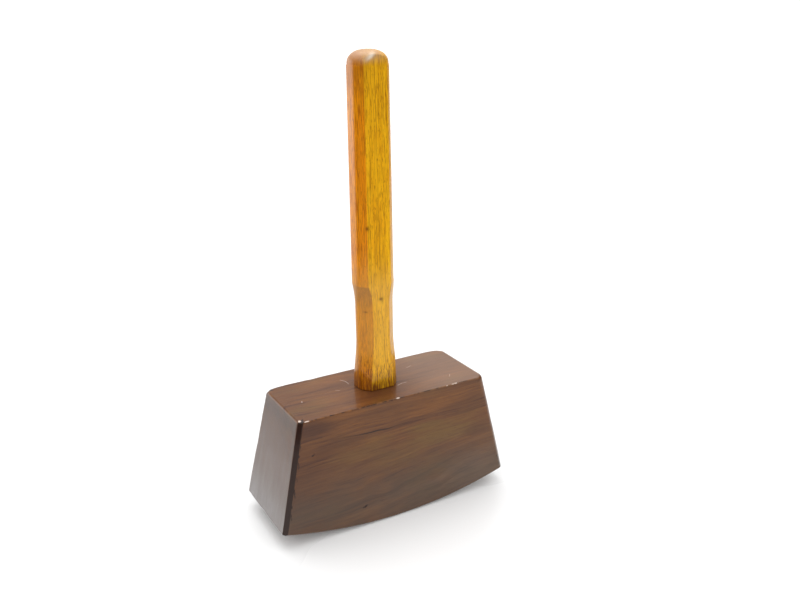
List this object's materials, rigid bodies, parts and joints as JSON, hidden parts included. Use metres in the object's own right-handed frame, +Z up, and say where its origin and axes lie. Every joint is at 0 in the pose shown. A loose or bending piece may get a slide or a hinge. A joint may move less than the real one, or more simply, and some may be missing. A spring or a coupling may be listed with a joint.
{
  "type": "wooden mallet",
  "caption": "Joiner's mallet with a tapered hardwood head, a curved lower face and an eight-sided handle wedged through it.",
  "frame": {"origin": "lowest point of the curved face, on the handle's axis; the mallet stands on it with its handle up", "axes": "+Z up along the handle, +X along the length of the head (the striking direction), +Y through the thickness of the head"},
  "size_m": [0.18, 0.0718, 0.322],
  "materials": {
    "head_wood": "dark red-brown hardwood, polished and lacquered, worn pale at the arrises",
    "handle_wood": "amber ash or beech with straight grain, lacquered, darkened at the foot",
    "wedge_wood": "dark hardwood end grain, planed flush"
  },
  "bodies": {
    "root": {"head": "head_wood", "handle": "handle_wood", "wedge_left": "wedge_wood", "wedge_right": "wedge_wood"}
  },
  "joints": []
}
